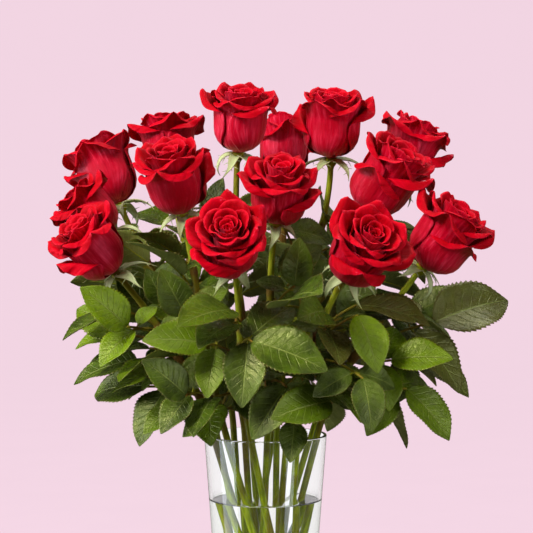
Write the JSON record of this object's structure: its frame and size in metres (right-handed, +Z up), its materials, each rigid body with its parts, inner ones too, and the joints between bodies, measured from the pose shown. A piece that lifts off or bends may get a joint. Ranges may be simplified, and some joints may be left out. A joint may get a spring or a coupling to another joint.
{
  "type": "roses in a vase",
  "caption": "Long-stemmed red roses with their leaves, arranged in a tall tapered clear glass vase part-filled with water, for a table.",
  "frame": {"origin": "centre of the vase's flat underside", "axes": "+Z up along the vase's axis, -Y towards the bouquet's front, +X to the right as seen from the front"},
  "size_m": [0.4314, 0.359, 0.5544],
  "materials": {
    "glass": "clear polished glass",
    "water": "clear still water",
    "petal": "soft satin red petal",
    "leaf": "waxy green leaf and stem"
  },
  "bodies": {
    "root": {"vase": "glass", "water": "water", "stem_front_left": "leaf", "bloom_front_left": "petal", "stem_front_right": "leaf", "bloom_front_right": "petal", "stem_centre": "leaf", "bloom_centre": "petal", "stem_left_middle": "leaf", "bloom_left_middle": "petal", "stem_top_left": "leaf", "bloom_top_left": "petal", "stem_top_right": "leaf", "bloom_top_right": "petal", "stem_right_middle": "leaf", "bloom_right_middle": "petal", "stem_far_right": "leaf", "bloom_far_right": "petal", "stem_top_far_right": "leaf", "bloom_top_far_right": "petal", "stem_back_centre": "leaf", "bloom_back_centre": "petal", "stem_back_left": "leaf", "bloom_back_left": "petal", "stem_upper_left": "leaf", "bloom_upper_left": "petal", "stem_far_left": "leaf", "bloom_far_left": "petal", "stem_left_behind": "leaf", "bloom_left_behind": "petal"}
  },
  "joints": []
}
